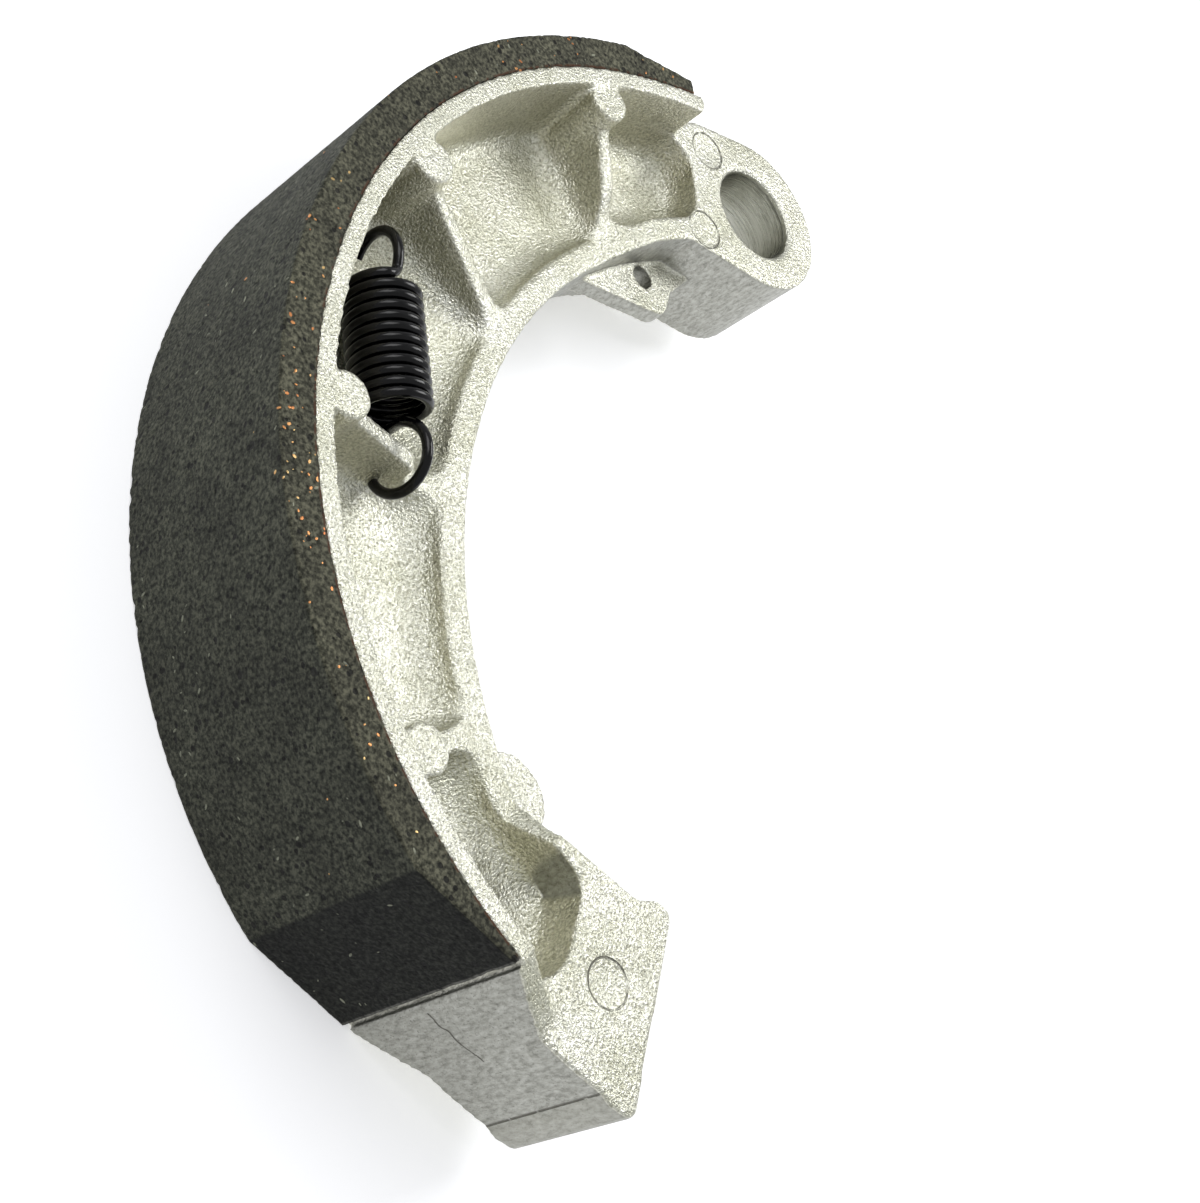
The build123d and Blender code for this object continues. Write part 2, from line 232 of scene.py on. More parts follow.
# runs a tree on an object with the given input values and keeps the result as a plain mesh
def runTree(obj, tree, values, name):
    modifier = obj.modifiers.new(tree.name, "NODES")
    modifier.node_group = tree
    for item in tree.interface.items_tree:
        if item.item_type == "SOCKET" and item.in_out == "INPUT" and item.name in values:
            modifier[item.identifier] = values[item.name]
    return applyModifiers(obj, name)


def readPlaces(mesh, what="co"):
    numbers = np.empty(len(mesh.vertices) * 3)
    mesh.vertices.foreach_get(what, numbers)
    return numbers.reshape(-1, 3)


# sets the vertices, none outside the box of the named CAD node
def writePlaces(mesh, places, node):
    low, high = map(np.array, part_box(node))
    mesh.vertices.foreach_set("co", np.clip(places, low, high).ravel())
    mesh.update()


# smooth step on arrays, from 0 at the first value to 1 at the second
def ease(values, zero, one):
    t = np.clip((values - zero) / (one - zero), 0, 1)
    return t * t * (3 - 2 * t)


# distances of points of the XY plane from one place
def flatDistance(flat, place):
    return np.hypot(*(flat - place).T)


# camera of the photograph: place in millimetres, directions, and focal length in pixels of its width
cameraView = {
    "place": (-187.03, 103.58, 138.31),
    "right": (0.17634681, -0.71756771, 0.67379402),
    "down": (-0.78118756, -0.5184927, -0.34772302),
    "forward": (0.5988721, -0.46503967, -0.65198951),
    "focalPixels": 2040.5,
    "widthPixels": 1200,
    "sensorWidth": 36.0,
}

# lengths in millimetres, lamp powers in watts
studio = {
    "floorHeight": -12.3,
    "floorSize": 1400.0,
    "floorColour": "#F1F2F5",
    "backdropGlow": 0.42,
    "worldStrength": 0.55,
    "worldColour": "#F7F8FA",
    "target": (-53.0, 15.0, 0.0),
    "softboxes": {
        "keySoftbox": {"place": (20.0, 190.0, 280.0), "size": 200.0, "power": 0.42},
        "farSoftbox": {"place": (100.0, -150.0, 220.0), "size": 150.0, "power": 0.44},
    },
}


def makeCamera():
    right, down, forward = (Vector(cameraView[key]) for key in ("right", "down", "forward"))
    data = bpy.data.cameras.new("photoCamera")
    data.sensor_fit = "HORIZONTAL"
    data.sensor_width = cameraView["sensorWidth"]
    data.lens = cameraView["focalPixels"] / cameraView["widthPixels"] * cameraView["sensorWidth"]
    data.clip_start = 0.01
    data.clip_end = 10.0
    camera = bpy.data.objects.new("photoCamera", data)
    turn = Matrix((right, -down, -forward)).transposed().to_4x4()
    camera.matrix_world = Matrix.Translation(Vector(cameraView["place"]) * mm) @ turn
    bpy.context.scene.collection.objects.link(camera)
    bpy.context.scene.camera = camera


def makeSoftbox(name, settings):
    data = bpy.data.lights.new(name, "AREA")
    data.shape = "SQUARE"
    data.size = settings["size"] * mm
    data.energy = settings["power"]
    lamp = bpy.data.objects.new(name, data)
    here = Vector(settings["place"]) * mm
    aim = (Vector(studio["target"]) * mm - here).to_track_quat("-Z", "Y")
    lamp.matrix_world = Matrix.Translation(here) @ aim.to_matrix().to_4x4()
    bpy.context.scene.collection.objects.link(lamp)


# Pale seamless paper. What the camera and reflections see of it is lifted to white, and it keeps the shadow.
def makePaper():
    material, tree = startMaterial("seamlessPaper")
    sheet = addNode(tree, "ShaderNodeBsdfDiffuse", values={"Color": hexColour(studio["floorColour"])}).outputs["BSDF"]
    rays = addNode(tree, "ShaderNodeLightPath").outputs
    seen = reckon(tree, "MAXIMUM", rays["Is Camera Ray"], rays["Is Glossy Ray"], rays["Is Transmission Ray"])
    glow = addNode(tree, "ShaderNodeEmission", values={"Color": hexColour("#FFFFFF")},
                   links={"Strength": reckon(tree, "MULTIPLY", seen, studio["backdropGlow"])}).outputs["Emission"]
    both = addNode(tree, "ShaderNodeAddShader", links={0: sheet, 1: glow}).outputs["Shader"]
    addNode(tree, "ShaderNodeOutputMaterial", links={"Surface": both})
    return material


def makeStudio():
    world = bpy.data.worlds.new("studioWorld")
    bpy.context.scene.world = world
    world.use_nodes = True
    tree = world.node_tree
    tree.nodes.clear()
    soft = addNode(tree, "ShaderNodeBackground", values={"Color": hexColour(studio["worldColour"]),
                                                         "Strength": studio["worldStrength"]})
    addNode(tree, "ShaderNodeOutputWorld", links={"Surface": soft.outputs[0]})
    half = studio["floorSize"] * mm / 2
    height = studio["floorHeight"] * mm
    mesh = bpy.data.meshes.new("paper")
    corners = [(-half, -half, height), (half, -half, height), (half, half, height), (-half, half, height)]
    mesh.from_pydata(corners, [], [(0, 1, 2, 3)])
    paper = addPiece(mesh, "paper")
    paper.data.materials.append(makePaper())
    for name, settings in studio["softboxes"].items():
        makeSoftbox(name, settings)


makeCamera()
makeStudio()
print("camera and studio ready")

# Lengths in millimetres, angles in degrees about the drum's axis. A pair under a place's name says where an effect
# is absent and where it is full, as a distance from that place.
castShoe = {
    "voxel": 0.3,
    "smoothing": 3,
    "triangleLimit": 190000,
    "unevenness": 0.05,
    "lumpSize": 0.9,
    "grain": 0.3,
    "grainDepth": 0.2,
    "fillPasses": 340,
    "fillThreshold": 0.0045,
    "fillAtRim": 0.3,  # speed of the fill beside the rim, and beside the posts, against 1 in the open
    "fillAtPosts": 0.08,
    "fill": {"drumCentre": (59.4, 59.0), "innerArc": (55.2, 56.2), "midPlane": (12.0, 10.8), "pivot": (6.6, 7.4),
             "hookHole": (1.6, 2.4), "hookRest": (1.8, 3.2), "posts": (2.5, 3.2)},
    "openFill": {"drumCentre": (58.0, 54.5), "eyeAngle": (38, 36), "camAngle": (141, 143), "midPlane": (5.0, 3.0)},
    "crestPasses": 9,
    "crests": {"drumCentre": (58.4, 57.4), "innerArc": (55.6, 57.0), "pivot": (10.4, 11.6), "posts": (2.9, 3.9)},
    "finish": {"bore": (6.35, 6.15), "boreEdge": (6.7, 6.5), "outside": (61.0, 61.5), "inside": (55.8, 55.3)},
    "hairline": (0.14, 0.04),
    "markRadius": 2.4,
    "markPlaces": ((-104.31, 0.5), (-9.1, 7.0), (3.0, 9.1)),
    "tipCrease": 171.4,
    "creaseLine": (0.15, 0.04),
    "scratchStart": (158.4, -1.25),
    "scratchEnd": (164.7, -0.25),
}


# thin sunk ring round each ejector pin's mark, on the front only, also used to paint shade into the groove
def pinRings(tree, place, facing):
    height = addNode(tree, "ShaderNodeSeparateXYZ", links={"Vector": place}).outputs["Z"]
    nearest = 1.0
    for point in castShoe["markPlaces"]:
        off = reckon(tree, "ABSOLUTE", reckon(tree, "SUBTRACT", distanceTo(tree, point), castShoe["markRadius"]))
        nearest = reckon(tree, "MINIMUM", off, nearest)
    ring = fade(tree, nearest, *castShoe["hairline"])
    broken = fade(tree, addNoise(tree, place, 1.4), 0.25, 0.5)
    return reckon(tree, "MULTIPLY", ring, broken, facing, reckon(tree, "GREATER_THAN", height, 6.0))


# hairline scratch on the cam block's outer side, between two (angle, height) places
def blockScratch(tree, place):
    (startTurn, startHeight), (endTurn, endHeight) = castShoe["scratchStart"], castShoe["scratchEnd"]
    perDegree = math.radians(1) * layout["rimOuter"]
    run = Vector(((endTurn - startTurn) * perDegree, endHeight - startHeight, 0))
    length = run.length
    way = run / length
    height = addNode(tree, "ShaderNodeSeparateXYZ", links={"Vector": place}).outputs["Z"]
    arc = reckon(tree, "MULTIPLY", reckon(tree, "SUBTRACT", drumAngle(tree), startTurn), perDegree)
    rise = reckon(tree, "SUBTRACT", height, startHeight)
    wander = reckon(tree, "MULTIPLY", reckon(tree, "SUBTRACT", addNoise(tree, place, 1.6), 0.5), 1.1)
    along = reckon(tree, "ADD", reckon(tree, "MULTIPLY", arc, way.x), reckon(tree, "MULTIPLY", rise, way.y))
    across = reckon(tree, "SUBTRACT", reckon(tree, "MULTIPLY", rise, way.x), reckon(tree, "MULTIPLY", arc, way.y))
    across = reckon(tree, "ABSOLUTE", reckon(tree, "ADD", across, wander))
    line = reckon(tree, "MULTIPLY", fade(tree, across, *castShoe["hairline"]), fade(tree, along, 0.0, 0.3))
    line = reckon(tree, "MULTIPLY", line, fade(tree, along, length, length - 0.3))
    skin = layout["rimOuter"]
    return reckon(tree, "MULTIPLY", line, fade(tree, distanceTo(tree, layout["drumCentre"]), skin, skin + 0.3))


# Die-cast aluminium alloy, left as cast: a sandy, faintly glittering cream skin, its steep walls painted darker and
# more olive as shade;
# flatter, with drag streaks, on the outer and inner sides that slid along the die, where it is also painted greyer as
# shade, and painted darker still as shade past the crease on the cam block's tip; a sunk ring with painted shade
# round each pin mark, and bright turned metal in the bore.
def makeCastAluminium():
    material, tree = startMaterial("dieCastAluminium")
    place = millimetres(tree)
    dragged = millimetres(tree, stretch=(1, 1, 0.5))
    facing = addNode(tree, "ShaderNodeSeparateXYZ",
                     links={"Vector": addNode(tree, "ShaderNodeTexCoord").outputs["Normal"]}).outputs["Z"]
    level = reckon(tree, "ABSOLUTE", facing)
    wall = fade(tree, level, 0.7, 0.3)
    fromDrum = distanceTo(tree, layout["drumCentre"])
    fromArc = distanceTo(tree, layout["innerArcCentre"])
    fromPivot = distanceTo(tree, (0, 0))
    turn = drumAngle(tree)
    finish, crease = castShoe["finish"], castShoe["tipCrease"]
    bore = reckon(tree, "MULTIPLY", fade(tree, fromPivot, *finish["bore"]), wall)
    boreEdge = reckon(tree, "MULTIPLY", fade(tree, fromPivot, *finish["boreEdge"]), fade(tree, level, 0.97, 0.85),
                      fade(tree, level, 0.2, 0.45))
    outside = reckon(tree, "MULTIPLY", fade(tree, fromDrum, *finish["outside"]), wall)
    inside = reckon(tree, "MULTIPLY", fade(tree, fromArc, *finish["inside"]), wall)
    # the tilted facet past the crease on the cam block's outer side, which gets painted shade
    tip = reckon(tree, "MULTIPLY", fade(tree, turn, crease - 0.15, crease + 0.15), outside)
    tipLine = reckon(tree, "ABSOLUTE", reckon(tree, "SUBTRACT", turn, crease))
    tipLine = reckon(tree, "MULTIPLY", fade(tree, tipLine, *castShoe["creaseLine"]), outside,
                     fade(tree, addNoise(tree, place, 1.2), 0.3, 0.45))
    slid = reckon(tree, "MAXIMUM", outside, inside)

    grain = addNoise(tree, place, castShoe["grain"], 2.0, 0.6)
    specks = addNoise(tree, place, 0.22, 1.0)
    lumps = addNoise(tree, place, 1.3, 3.0)
    cloud = addNoise(tree, place, 8.0, 3.0)
    drag = addNoise(tree, dragged, 0.45, 4.0, 0.65)

    sandy = addRamp(tree, grain, [(0.34, "#C0BFAF"), (0.47, "#E4E4D6"), (0.62, "#F8F8EE")])
    tone = addRamp(tree, cloud, [(0.3, "#E2E2DA"), (0.7, "#FFFFFF")])
    sandy = blendColour(tree, 1.0, sandy, tone, "MULTIPLY")
    pits = fade(tree, specks, 0.33, 0.26)
    sandy = blendColour(tree, reckon(tree, "MULTIPLY", pits, 0.5), sandy, "#67645A")
    # painted shade: every steep wall takes this darker, more olive copy of the cream
    wallShadeColour = addRamp(tree, grain, [(0.34, "#B0AE9C"), (0.5, "#CFCDBB"), (0.64, "#E6E4D4")])
    colour = blendColour(tree, wall, sandy, wallShadeColour)
    # the drag streaks and specks on the slid sides are real; their greyer, darker tone is painted shade
    smooth = addRamp(tree, drag, [(0.3, "#85857D"), (0.5, "#A2A29A"), (0.7, "#B6B6AF")])
    slideStreaksAndShade = blendColour(tree, reckon(tree, "MULTIPLY", fade(tree, specks, 0.36, 0.28), 0.55), smooth, "#5F5E58")
    colour = blendColour(tree, slid, colour, slideStreaksAndShade)
    # painted shade: the facet past the crease is darkened
    colour = blendColour(tree, reckon(tree, "MULTIPLY", tip, 0.35), colour, "#A3A297")
    turned = addNoise(tree, millimetres(tree, stretch=(0.02, 0.02, 1)), 0.16, 3.0, 0.7)
    boreColour = addRamp(tree, turned, [(0.35, "#B2B2AA"), (0.65, "#E0E0D8")])
    colour = blendColour(tree, bore, colour, boreColour)
    colour = blendColour(tree, boreEdge, colour, "#E9E9DC")
    # the parting line and the scratch are real dark marks; the pin rings add painted shade in their grooves
    linesAndRingShade = reckon(tree, "MAXIMUM", pinRings(tree, place, fade(tree, facing, 0.7, 0.9)), tipLine,
                   blockScratch(tree, place))
    colour = blendColour(tree, reckon(tree, "MULTIPLY", linesAndRingShade, 0.8), colour, "#55534A")

    sandyRough = addRamp(tree, grain, [(0.3, 0.42), (0.7, 0.27)])
    smoothRough = addRamp(tree, drag, [(0.3, 0.5), (0.7, 0.42)])
    roughness = blendColour(tree, slid, sandyRough, smoothRough)
    roughness = blendColour(tree, bore, roughness, addRamp(tree, turned, [(0.3, 0.22), (0.7, 0.36)]))

    calm = reckon(tree, "SUBTRACT", 1.0, reckon(tree, "MULTIPLY", slid, 0.6))
    calm = reckon(tree, "MULTIPLY", calm, reckon(tree, "SUBTRACT", 1.0, bore))
    height = reckon(tree, "MULTIPLY", reckon(tree, "ADD", grain, reckon(tree, "MULTIPLY", specks, 0.5)), calm)
    height = reckon(tree, "ADD", height, reckon(tree, "MULTIPLY", drag, slid, 0.3))
    height = reckon(tree, "SUBTRACT", height, linesAndRingShade)
    broad = addBump(tree, lumps, 0.18, 0.5)
    fine = addBump(tree, height, castShoe["grainDepth"], 1.0, broad)
    finishMaterial(tree, {"Metallic": 1.0}, {"Base Color": colour, "Roughness": roughness, "Normal": fine})
    return material


# copy of a CAD node with its loose triangles joined
def mergedCopy(node, name):
    mesh = frame["nodes"][node].data.copy()
    shape = bmesh.new()
    shape.from_mesh(mesh)
    bmesh.ops.remove_doubles(shape, verts=shape.verts, dist=1e-6)
    shape.to_mesh(mesh)
    shape.free()
    return addPiece(mesh, name)


# 0 near the round posts and 1 away from them, between two radii
def postShare(flat, near, far):
    share = np.ones(len(flat))
    for angle in layout["postAngles"]:
        turn = math.radians(angle)
        post = np.array(layout["drumCentre"]) + layout["postCircle"] * np.array((math.cos(turn), math.sin(turn)))
        share *= ease(flatDistance(flat, post), near, far)
    return share


# share, from 0 to 1, of the pockets' inside that each point belongs to, clear of bores, posts and the outer skin
def pocketShare(places):
    flat = places[:, :2] / mm
    height = np.abs(places[:, 2]) / mm
    limits, wide = castShoe["fill"], castShoe["openFill"]
    fromDrum = flatDistance(flat, layout["drumCentre"])
    fromArc = flatDistance(flat, layout["innerArcCentre"])
    share = ease(fromDrum, *limits["drumCentre"]) * ease(fromArc, *limits["innerArc"])
    share *= ease(height, *limits["midPlane"])
    share *= ease(flatDistance(flat, (0, 0)), *limits["pivot"])
    share *= ease(flatDistance(flat, layout["hookRest"]), *limits["hookRest"])
    across, up = (flat - layout["drumCentre"]).T
    turn = np.degrees(np.arctan2(up, across))
    endPockets = np.maximum(ease(turn, *wide["eyeAngle"]), ease(turn, *wide["camAngle"]))
    clearOfRim = np.maximum(ease(fromDrum, *wide["drumCentre"]), endPockets)
    clearOfPosts = np.maximum(postShare(flat, *limits["posts"]), ease(height, *wide["midPlane"]))
    share *= castShoe["fillAtPosts"] + (1 - castShoe["fillAtPosts"]) * clearOfPosts
    share *= castShoe["fillAtRim"] + (1 - castShoe["fillAtRim"]) * clearOfRim
    return share * ease(flatDistance(flat, layout["hookHole"]), *limits["hookHole"])


# rounds the corners between floor, walls and ribs as a die's radii do: points in a hollow move outwards only
def fillHollows(mesh):
    places = readPlaces(mesh) / mm
    share = pocketShare(places * mm)
    ends = np.empty(len(mesh.edges) * 2, dtype=np.int32)
    mesh.edges.foreach_get("vertices", ends)
    first, second = ends[0::2], ends[1::2]
    count = len(places)
    neighbours = np.bincount(ends, minlength=count)
    for step in range(castShoe["fillPasses"]):
        if step % 20 == 0:  # normals change slowly
            mesh.vertices.foreach_set("co", (places * mm).ravel())
            mesh.update()
            normals = readPlaces(mesh, "normal")
        total = np.empty_like(places)
        for axis in range(3):
            total[:, axis] = (np.bincount(first, places[second, axis], count)
                              + np.bincount(second, places[first, axis], count))
        pull = total / neighbours[:, None] - places
        hollow = (pull * normals).sum(1) > castShoe["fillThreshold"]
        places += pull * (0.5 * share * hollow)[:, None]
    writePlaces(mesh, places * mm, "shoe_casting")


# softens the rail's and ribs' crests on the pocket side, leaving the posts and the arc's edge crisp
def softenCrests(piece):
    places = readPlaces(piece.data)
    flat = places[:, :2] / mm
    limits = castShoe["crests"]
    share = ease(flatDistance(flat, layout["drumCentre"]), *limits["drumCentre"])
    share *= ease(flatDistance(flat, layout["innerArcCentre"]), *limits["innerArc"])
    share *= ease(flatDistance(flat, (0, 0)), *limits["pivot"])
    share *= postShare(flat, *limits["posts"])
    group = piece.vertex_groups.new(name="crests")
    levels = np.round(share * 10).astype(int)
    for level in range(1, 11):
        chosen = np.nonzero(levels == level)[0].tolist()
        if chosen:
            group.add(chosen, level / 10, "REPLACE")
    smooth = piece.modifiers.new("crests", "SMOOTH")
    smooth.vertex_group = "crests"
    smooth.factor = 0.5
    smooth.iterations = castShoe["crestPasses"]


def makeCasting(material):
    rough = mergedCopy("shoe_casting", "castRough")
    remesh = rough.modifiers.new("skin", "REMESH")
    remesh.mode = "VOXEL"
    remesh.voxel_size = castShoe["voxel"] * mm
    smooth = rough.modifiers.new("soften", "SMOOTH")
    smooth.factor = 0.5
    smooth.iterations = castShoe["smoothing"]
    skin = applyModifiers(rough, "castSkin")
    fillHollows(skin.data)
    softenCrests(skin)
    triangles = sum(len(p.vertices) - 2 for p in skin.data.polygons)
    thin = skin.modifiers.new("thin", "DECIMATE")
    thin.ratio = min(1.0, castShoe["triangleLimit"] / triangles)
    piece = applyModifiers(skin, "castShoe")
    lump = castShoe["lumpSize"] * mm
    bore = frame["record"]["mounts"][0]["dims"]["r_mm"]
    places = readPlaces(piece.data)
    normals = readPlaces(piece.data, "normal")
    outsideBore = np.hypot(places[:, 0], places[:, 1]) > (bore + 1) * mm
    lumps = np.array([noise.noise(Vector(place) / lump) for place in places])
    places += normals * (lumps * outsideBore * castShoe["unevenness"] * mm)[:, None]
    writePlaces(piece.data, places, "shoe_casting")
    piece.data.shade_smooth()
    setMaterial(piece, material)
    print("cast body:", triangles, "triangles before thinning,", len(piece.data.polygons), "after")
    return piece


castAluminium = makeCastAluminium()
setMaterial(frame["nodes"]["shoe_casting"], castAluminium)
castBody = makeCasting(castAluminium)

# lengths in millimetres, start, end and tapers in degrees about the drum's axis
liningBlock = {
    "width": 24.6,
    "start": 26.0,
    "end": 157.0,
    "pivotTaper": 9.2,
    "pivotEndThickness": 1.85,
    "camTaper": 10.6,
    "camEndThickness": 0.75,
    "spacing": 0.36,
    "sideRows": 11,
    "backRows": 8,
    "cornerRounding": 0.16,
    "grainDepth": 0.04,
    "faceGrain": 1.6,  # lumps for each millimetre
    "sideGrain": 1.3,
    "skinDepth": 0.3,  # a point this near a face takes on its texture
    "pitDepth": 0.12,
    "pitSize": 0.5,
    "nickDepth": 0.2,
    "nickLength": 1.1,
    "nickSpacing": 6.0,
    "nickReach": 0.7,
    "endWear": 0.35,
    "endReach": 0.7,  # degrees
    "chipGrain": 0.55,
}


# Moulded friction compound, ground on its face: dull dark grey-green, pitted and flecked, with painted shade making
# the ground taper at the cam end darker, and a brown trace of adhesive where it meets the metal.
def makeFrictionCompound():
    material, tree = startMaterial("mouldedFrictionCompound")
    place = millimetres(tree)
    height = reckon(tree, "ABSOLUTE", addNode(tree, "ShaderNodeSeparateXYZ", links={"Vector": place}).outputs["Z"])
    fromDrum = distanceTo(tree, layout["drumCentre"])
    turn = drumAngle(tree)
    half = liningBlock["width"] / 2
    camCorner = liningBlock["end"] - liningBlock["camTaper"]
    side = fade(tree, height, half - 0.25, half - 0.12)
    ground = reckon(tree, "SUBTRACT", 1.0, side)
    taper = reckon(tree, "MULTIPLY", fade(tree, turn, camCorner - 0.2, camCorner + 0.2), ground)
    endFace = fade(tree, turn, liningBlock["end"] - 0.3, liningBlock["end"] - 0.12)

    grain = addNoise(tree, place, 0.42, 3.0, 0.65)
    patch = addNoise(tree, place, 5.0, 4.0, 0.6)
    face = addRamp(tree, grain, [(0.34, "#1F211A"), (0.48, "#3F4137"), (0.64, "#606152")])
    edge = addRamp(tree, grain, [(0.34, "#25261C"), (0.48, "#47473A"), (0.64, "#6E6D5A")])
    # painted shade: the cam-end taper facet takes this near-black copy of the face
    dark = addRamp(tree, grain, [(0.34, "#070805"), (0.5, "#171913"), (0.66, "#2C2E26")])
    ends = addRamp(tree, grain, [(0.34, "#4F4E49"), (0.6, "#7E7D76")])
    colour = blendColour(tree, side, face, edge)
    colour = blendColour(tree, taper, colour, dark)
    colour = blendColour(tree, endFace, colour, ends)
    tone = addRamp(tree, patch, [(0.32, "#C4C4C4"), (0.68, "#FFFFFF")])
    colour = blendColour(tree, 1.0, colour, tone, "MULTIPLY")

    pits = None
    for cellSize, largest, share in ((0.95, 0.34, 0.45), (2.3, 0.2, 0.6)):
        cells = addNode(tree, "ShaderNodeTexVoronoi", values={"Scale": 1 / cellSize}, links={"Vector": place}).outputs
        chance = addNode(tree, "ShaderNodeSeparateColor", links={"Color": cells["Color"]}).outputs
        reach = reckon(tree, "MULTIPLY", chance["Green"], largest)
        pit = reckon(tree, "MULTIPLY", fade(tree, reckon(tree, "SUBTRACT", cells["Distance"], reach), 0.05, -0.02),
                     reckon(tree, "GREATER_THAN", chance["Red"], share))
        pits = pit if pits is None else reckon(tree, "MAXIMUM", pits, pit)
    colour = blendColour(tree, reckon(tree, "MULTIPLY", pits, 0.85), colour, "#0B0B09")
    glue = reckon(tree, "MULTIPLY", fade(tree, fromDrum, 61.5, 61.25), side,
                  fade(tree, addNoise(tree, place, 0.9, 3.0), 0.44, 0.56))
    colour = blendColour(tree, glue, colour, "#4E3422")

    bump = addBump(tree, reckon(tree, "SUBTRACT", grain, reckon(tree, "MULTIPLY", pits, 0.7)), 0.14)
    roughness = addRamp(tree, grain, [(0.3, 0.96), (0.7, 0.72)])
    finishMaterial(tree, {"Specular IOR Level": 0.35}, {"Base Color": colour, "Roughness": roughness, "Normal": bump})
    return material


# radius at which the straight line between two polar points crosses a ray, angles in degrees
def crossRadius(radiusA, angleA, radiusB, angleB, angle):
    ends = []
    for radius, turn in ((radiusA, math.radians(angleA)), (radiusB, math.radians(angleB))):
        ends.append(Vector((radius * math.cos(turn), radius * math.sin(turn))))
    run = ends[1] - ends[0]
    turn = math.radians(angle)
    return (ends[0].x * run.y - ends[0].y * run.x) / (math.cos(turn) * run.y - math.sin(turn) * run.x)


# radius of the ground face at an angle in degrees: round, and flat on both tapers
def faceRadius(angle):
    start, end, back, full = liningBlock["start"], liningBlock["end"], layout["rimOuter"], layout["drumRadius"]
    pivotCorner = start + liningBlock["pivotTaper"]
    camCorner = end - liningBlock["camTaper"]
    if angle < pivotCorner:
        return crossRadius(back + liningBlock["pivotEndThickness"], start, full, pivotCorner, angle)
    if angle > camCorner:
        return crossRadius(back + liningBlock["camEndThickness"], end, full, camCorner, angle)
    return full


# points round one cross-section as (rise over the back, place across the width)
def liningSection(thickness):
    half = liningBlock["width"] / 2
    sideRows, backRows = liningBlock["sideRows"], liningBlock["backRows"]
    faceRows = round(liningBlock["width"] / liningBlock["spacing"])
    points = [(thickness * i / sideRows, half) for i in range(sideRows)]
    points += [(thickness, half - liningBlock["width"] * i / faceRows) for i in range(faceRows + 1)]
    points += [(thickness * i / sideRows, -half) for i in reversed(range(sideRows))]
    points += [(0.0, -half + liningBlock["width"] * i / backRows) for i in range(1, backRows)]
    corner = liningBlock["cornerRounding"]
    pull = corner * (1 - math.sqrt(0.5))
    return [(rise - pull, math.copysign(half - pull, across))
            if thickness - rise < corner and half - abs(across) < corner else (rise, across)
            for rise, across in points]


# how far wear and texture take a point of the surface inwards, as a vector in millimetres
def liningWear(base, outward, angle, rise, top, across):
    half = liningBlock["width"] / 2
    toTop = top - rise
    toSide = half - abs(across)
    sideways = Vector((0, 0, math.copysign(1, across)))
    wear = Vector((0, 0, 0))
    if toTop < liningBlock["skinDepth"]:
        pitted = max(0.0, noise.noise(base / liningBlock["pitSize"]) - 0.2) * liningBlock["pitDepth"] * 2
        grain = max(0.0, 0.5 + noise.noise(base * liningBlock["faceGrain"])) * liningBlock["grainDepth"]
        wear -= outward * (pitted + grain)
    onBack = rise <= 0.01
    if toSide < liningBlock["skinDepth"] and not onBack:
        grain = max(0.0, 0.5 + noise.noise(base * liningBlock["sideGrain"]))
        wear -= sideways * grain * liningBlock["grainDepth"]
    nearEdge = 0.0 if onBack else max(0.0, 1 - (toTop + toSide) / liningBlock["nickReach"])
    if nearEdge > 0:  # nicks come in crowds along the edges
        arc = math.radians(angle) * layout["drumRadius"]
        nick = noise.noise(Vector((arc / liningBlock["nickLength"], across, 7.0))) - 0.05
        crowd = 0.05 + noise.noise(Vector((arc / liningBlock["nickSpacing"], across, 19.0))) * 1.6
        depth = min(1.0, max(0.0, nick) * max(0.0, crowd) * 4) * liningBlock["nickDepth"] * nearEdge
        wear -= (outward + sideways) * depth * 0.7
    toEnd = min(angle - liningBlock["start"], liningBlock["end"] - angle)
    reach = liningBlock["endReach"]
    if toEnd < reach and rise > 0.6 * top:
        chip = max(0.0, noise.noise(base * liningBlock["chipGrain"]) + 0.1) * liningBlock["endWear"]
        wear -= outward * (chip * (1 - toEnd / reach))
    return wear


# fine mesh of the compound: pitted on its ground face, nicked along its edges
def makeLining(material):
    start, end = liningBlock["start"], liningBlock["end"]
    rings = round(math.radians(end - start) * layout["drumRadius"] / liningBlock["spacing"])
    vertices, faces = [], []
    for ring in range(rings + 1):
        angle = start + (end - start) * ring / rings
        turn = math.radians(angle)
        outward = Vector((math.cos(turn), math.sin(turn), 0))
        top = faceRadius(angle) - layout["rimOuter"]
        section = liningSection(top)
        for rise, across in section:
            base = Vector((*layout["drumCentre"], across)) + outward * (layout["rimOuter"] + rise)
            vertices.append((base + liningWear(base, outward, angle, rise, top, across)) * mm)
        count = len(section)
        for i in range(count if ring else 0):
            j = (i + 1) % count
            faces.append(((ring - 1) * count + i, (ring - 1) * count + j, ring * count + j, ring * count + i))
    faces.append(tuple(range(count)))
    faces.append(tuple(rings * count + i for i in range(count)))
    mesh = bpy.data.meshes.new("liningBlock")
    mesh.from_pydata(vertices, [], faces)
    shape = bmesh.new()
    shape.from_mesh(mesh)
    bmesh.ops.recalc_face_normals(shape, faces=shape.faces)
    shape.to_mesh(mesh)
    shape.free()
    piece = addPiece(mesh, "liningBlock")
    writePlaces(piece.data, readPlaces(piece.data), "friction_lining")
    piece.data.shade_smooth()
    setMaterial(piece, material)
    print("lining:", len(faces), "faces")
    return piece


frictionCompound = makeFrictionCompound()
setMaterial(frame["nodes"]["friction_lining"], frictionCompound)
liningPiece = makeLining(frictionCompound)

